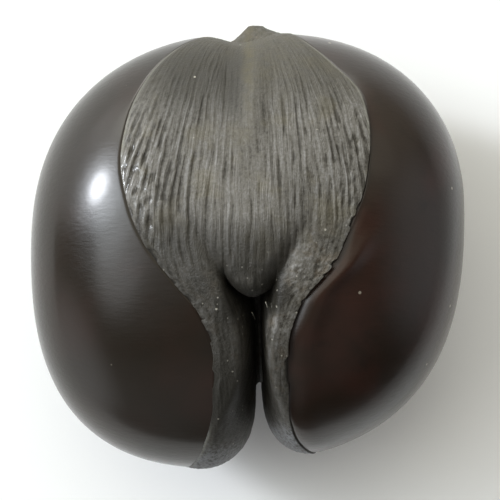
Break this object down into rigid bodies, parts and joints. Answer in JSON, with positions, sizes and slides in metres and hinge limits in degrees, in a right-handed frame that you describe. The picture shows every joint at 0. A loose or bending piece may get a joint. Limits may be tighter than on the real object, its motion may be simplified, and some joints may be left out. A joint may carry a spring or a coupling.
{
  "type": "coco de mer nut",
  "caption": "Large two-lobed coco de mer palm nut, dark polished lobes with a rough fibrous panel over the front and a deep cleft between the lobes; lies on its back.",
  "frame": {"origin": "on the surface that the nut lies on, under the middle of its outer size", "axes": "+X across the two lobes, +Y towards the stalk scar, +Z out of the fibrous face"},
  "size_m": [0.287, 0.2954, 0.1825],
  "materials": {
    "nutShell": "polished dark shell lobes, dull grey-brown raw fibrous panel"
  },
  "bodies": {
    "root": {"nut": "nutShell"}
  },
  "joints": []
}
